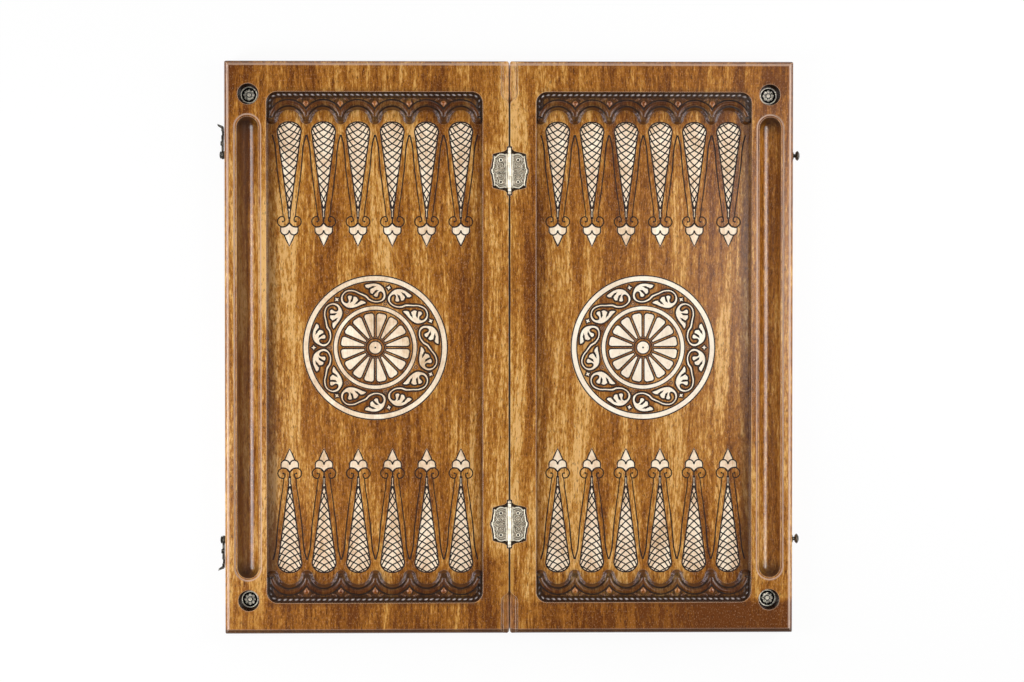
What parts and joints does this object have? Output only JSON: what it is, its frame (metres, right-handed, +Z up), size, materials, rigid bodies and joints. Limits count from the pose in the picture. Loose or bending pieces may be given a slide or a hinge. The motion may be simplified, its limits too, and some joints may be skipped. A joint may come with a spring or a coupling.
{
  "type": "backgammon board",
  "caption": "Folding wooden backgammon board with sunk fields, a carved arcade, inlaid points and medallions, side troughs, corner wells, ornate hinges and swing hooks.",
  "frame": {"origin": "on the back of the open board, below the middle of the seam between the two halves", "axes": "+Z up out of the playing faces, +Y along the seam towards the upper points, +X across the open board towards the half that folds"},
  "size_m": [0.6118, 0.6, 0.0326],
  "materials": {
    "stained_wood": "walnut brown stain under gloss lacquer, grain along the seam",
    "light_wood": "natural light wood under gloss lacquer",
    "antique_brass": "pale antiqued brass, worn bright on its relief",
    "dark_metal": "dark antiqued metal"
  },
  "bodies": {
    "left_half": {"left_slab": "stained_wood", "left_point_inlays": "light_wood", "left_fleur_inlays": "light_wood", "left_medallion_ground": "stained_wood", "left_medallion_rings": "light_wood", "left_medallion_petals": "light_wood", "left_medallion_scrolls": "light_wood", "upper_hinge_left_leaf": "antique_brass", "upper_hinge_pin": "antique_brass", "upper_hinge_left_nails": "dark_metal", "lower_hinge_left_leaf": "antique_brass", "lower_hinge_pin": "antique_brass", "lower_hinge_left_nails": "dark_metal", "upper_left_disc": "dark_metal", "lower_left_disc": "dark_metal", "upper_hook_stud": "dark_metal", "upper_hook_washer": "dark_metal", "lower_hook_stud": "dark_metal", "lower_hook_washer": "dark_metal"},
    "right_half": {"right_slab": "stained_wood", "right_point_inlays": "light_wood", "right_fleur_inlays": "light_wood", "right_medallion_ground": "stained_wood", "right_medallion_rings": "light_wood", "right_medallion_petals": "light_wood", "right_medallion_scrolls": "light_wood", "upper_hinge_right_leaf": "antique_brass", "upper_hinge_right_nails": "dark_metal", "lower_hinge_right_leaf": "antique_brass", "lower_hinge_right_nails": "dark_metal", "upper_right_disc": "dark_metal", "lower_right_disc": "dark_metal", "upper_catch_knob": "dark_metal", "upper_catch_washer": "dark_metal", "lower_catch_knob": "dark_metal", "lower_catch_washer": "dark_metal"},
    "upper_hook": {"upper_hook": "dark_metal"},
    "lower_hook": {"lower_hook": "dark_metal"}
  },
  "joints": [
    {"name": "board_fold", "type": "hinge", "parent": "left_half", "child": "right_half", "pos_m": [0, 0, 0.03025], "axis": [0, -1, 0], "range_deg": [0, 180]},
    {"name": "upper_hook_swing", "type": "hinge", "parent": "left_half", "child": "upper_hook", "pos_m": [-0.298, 0.202, 0.019], "axis": [1, 0, 0], "range_deg": [0, 90]},
    {"name": "lower_hook_swing", "type": "hinge", "parent": "left_half", "child": "lower_hook", "pos_m": [-0.298, -0.202, 0.019], "axis": [-1, 0, 0], "range_deg": [0, 90]}
  ]
}
